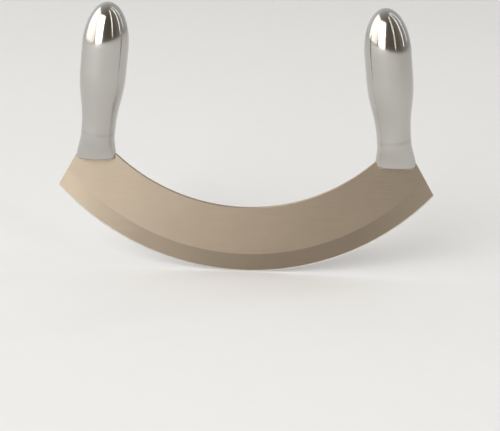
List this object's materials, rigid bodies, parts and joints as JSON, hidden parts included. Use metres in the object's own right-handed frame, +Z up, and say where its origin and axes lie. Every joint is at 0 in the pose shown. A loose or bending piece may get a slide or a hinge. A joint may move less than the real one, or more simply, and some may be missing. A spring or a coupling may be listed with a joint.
{
  "type": "mezzaluna",
  "caption": "Rocking herb knife: a curved crescent blade ground along its outer edge, with an upright hollow steel grip welded to each end.",
  "frame": {"origin": "the lowest point of the cutting edge, in the middle of the blade, on its centre plane", "axes": "+X from the left tip to the right tip, +Y through the blade's thickness, away from the viewer, +Z up from the cutting edge to the grips"},
  "size_m": [0.2074, 0.025, 0.1505],
  "materials": {
    "blade_steel": "satin brushed stainless",
    "handle_steel": "mirror polished stainless",
    "weld_steel": "ground and polished flush",
    "filler": "cast cement"
  },
  "bodies": {
    "root": {"blade": "blade_steel", "left_collar": "handle_steel", "left_grip_shell_front": "handle_steel", "left_grip_shell_rear": "handle_steel", "left_seam_weld": "weld_steel", "left_collar_weld": "weld_steel", "left_blade_weld": "weld_steel", "left_filler": "filler", "right_collar": "handle_steel", "right_grip_shell_front": "handle_steel", "right_grip_shell_rear": "handle_steel", "right_seam_weld": "weld_steel", "right_collar_weld": "weld_steel", "right_blade_weld": "weld_steel", "right_filler": "filler"}
  },
  "joints": []
}
